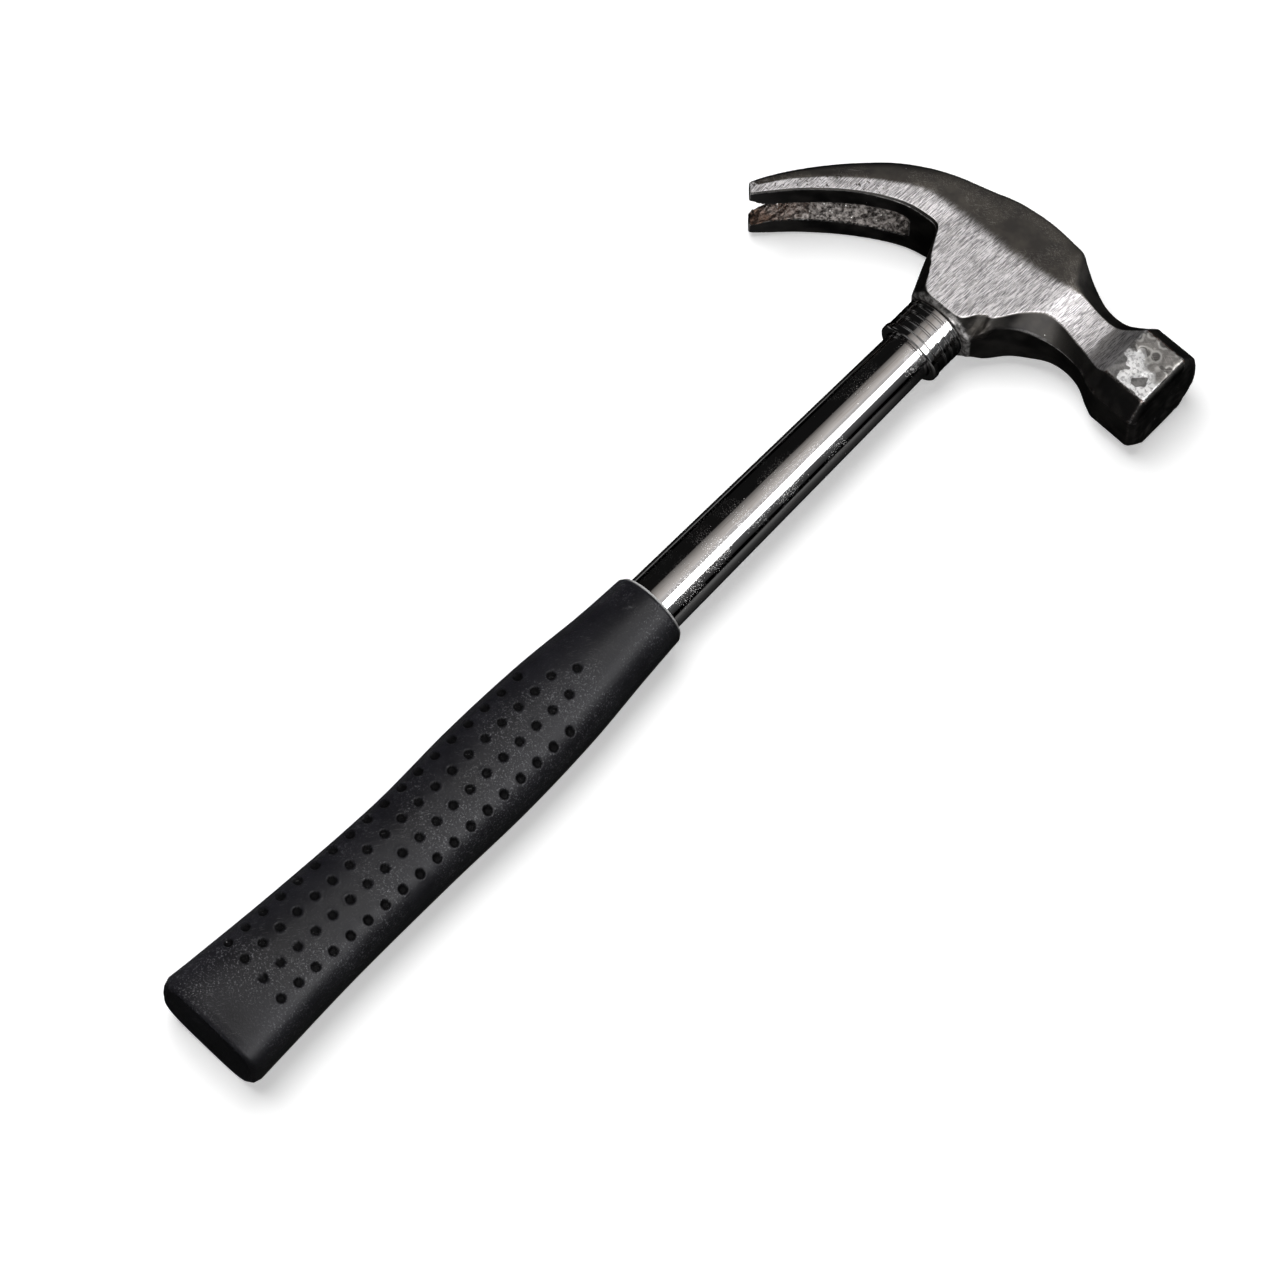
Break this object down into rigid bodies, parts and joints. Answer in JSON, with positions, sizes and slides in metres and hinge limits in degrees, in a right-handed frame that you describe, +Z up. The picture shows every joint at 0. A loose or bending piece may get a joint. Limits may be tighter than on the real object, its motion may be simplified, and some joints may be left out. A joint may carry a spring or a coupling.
{
  "type": "claw hammer",
  "caption": "Carpenter's claw hammer with a forged steel head, a chromed tubular handle and a dimpled rubber grip, lying on its side.",
  "frame": {"origin": "middle of the bounding box's bottom face, on the level surface that the hammer lies on", "axes": "+Y along the handle from the butt of the grip to the head, +X from the claws to the striking face, +Z up out of the cheek that faces up"},
  "size_m": [0.1252, 0.3258, 0.0282],
  "materials": {
    "head_steel": "ground cheeks fading to dark forged scale, scratched and worn along the edges",
    "handle_chrome": "bright chrome plate with a few specks",
    "ferrule_chrome": "chrome plate, turned grooves",
    "grip_rubber": "matt black moulded rubber with rows of dimples",
    "bond_resin": "dark cured resin",
    "wedge_steel": "plain cut steel, slightly tarnished",
    "plug_plastic": "plain moulded plastic"
  },
  "bodies": {
    "root": {"head": "head_steel", "shaft_tube": "handle_chrome", "ferrule": "ferrule_chrome", "grip": "grip_rubber", "eye_bond": "bond_resin", "eye_wedge": "wedge_steel", "shaft_end_plug": "plug_plastic"}
  },
  "joints": []
}
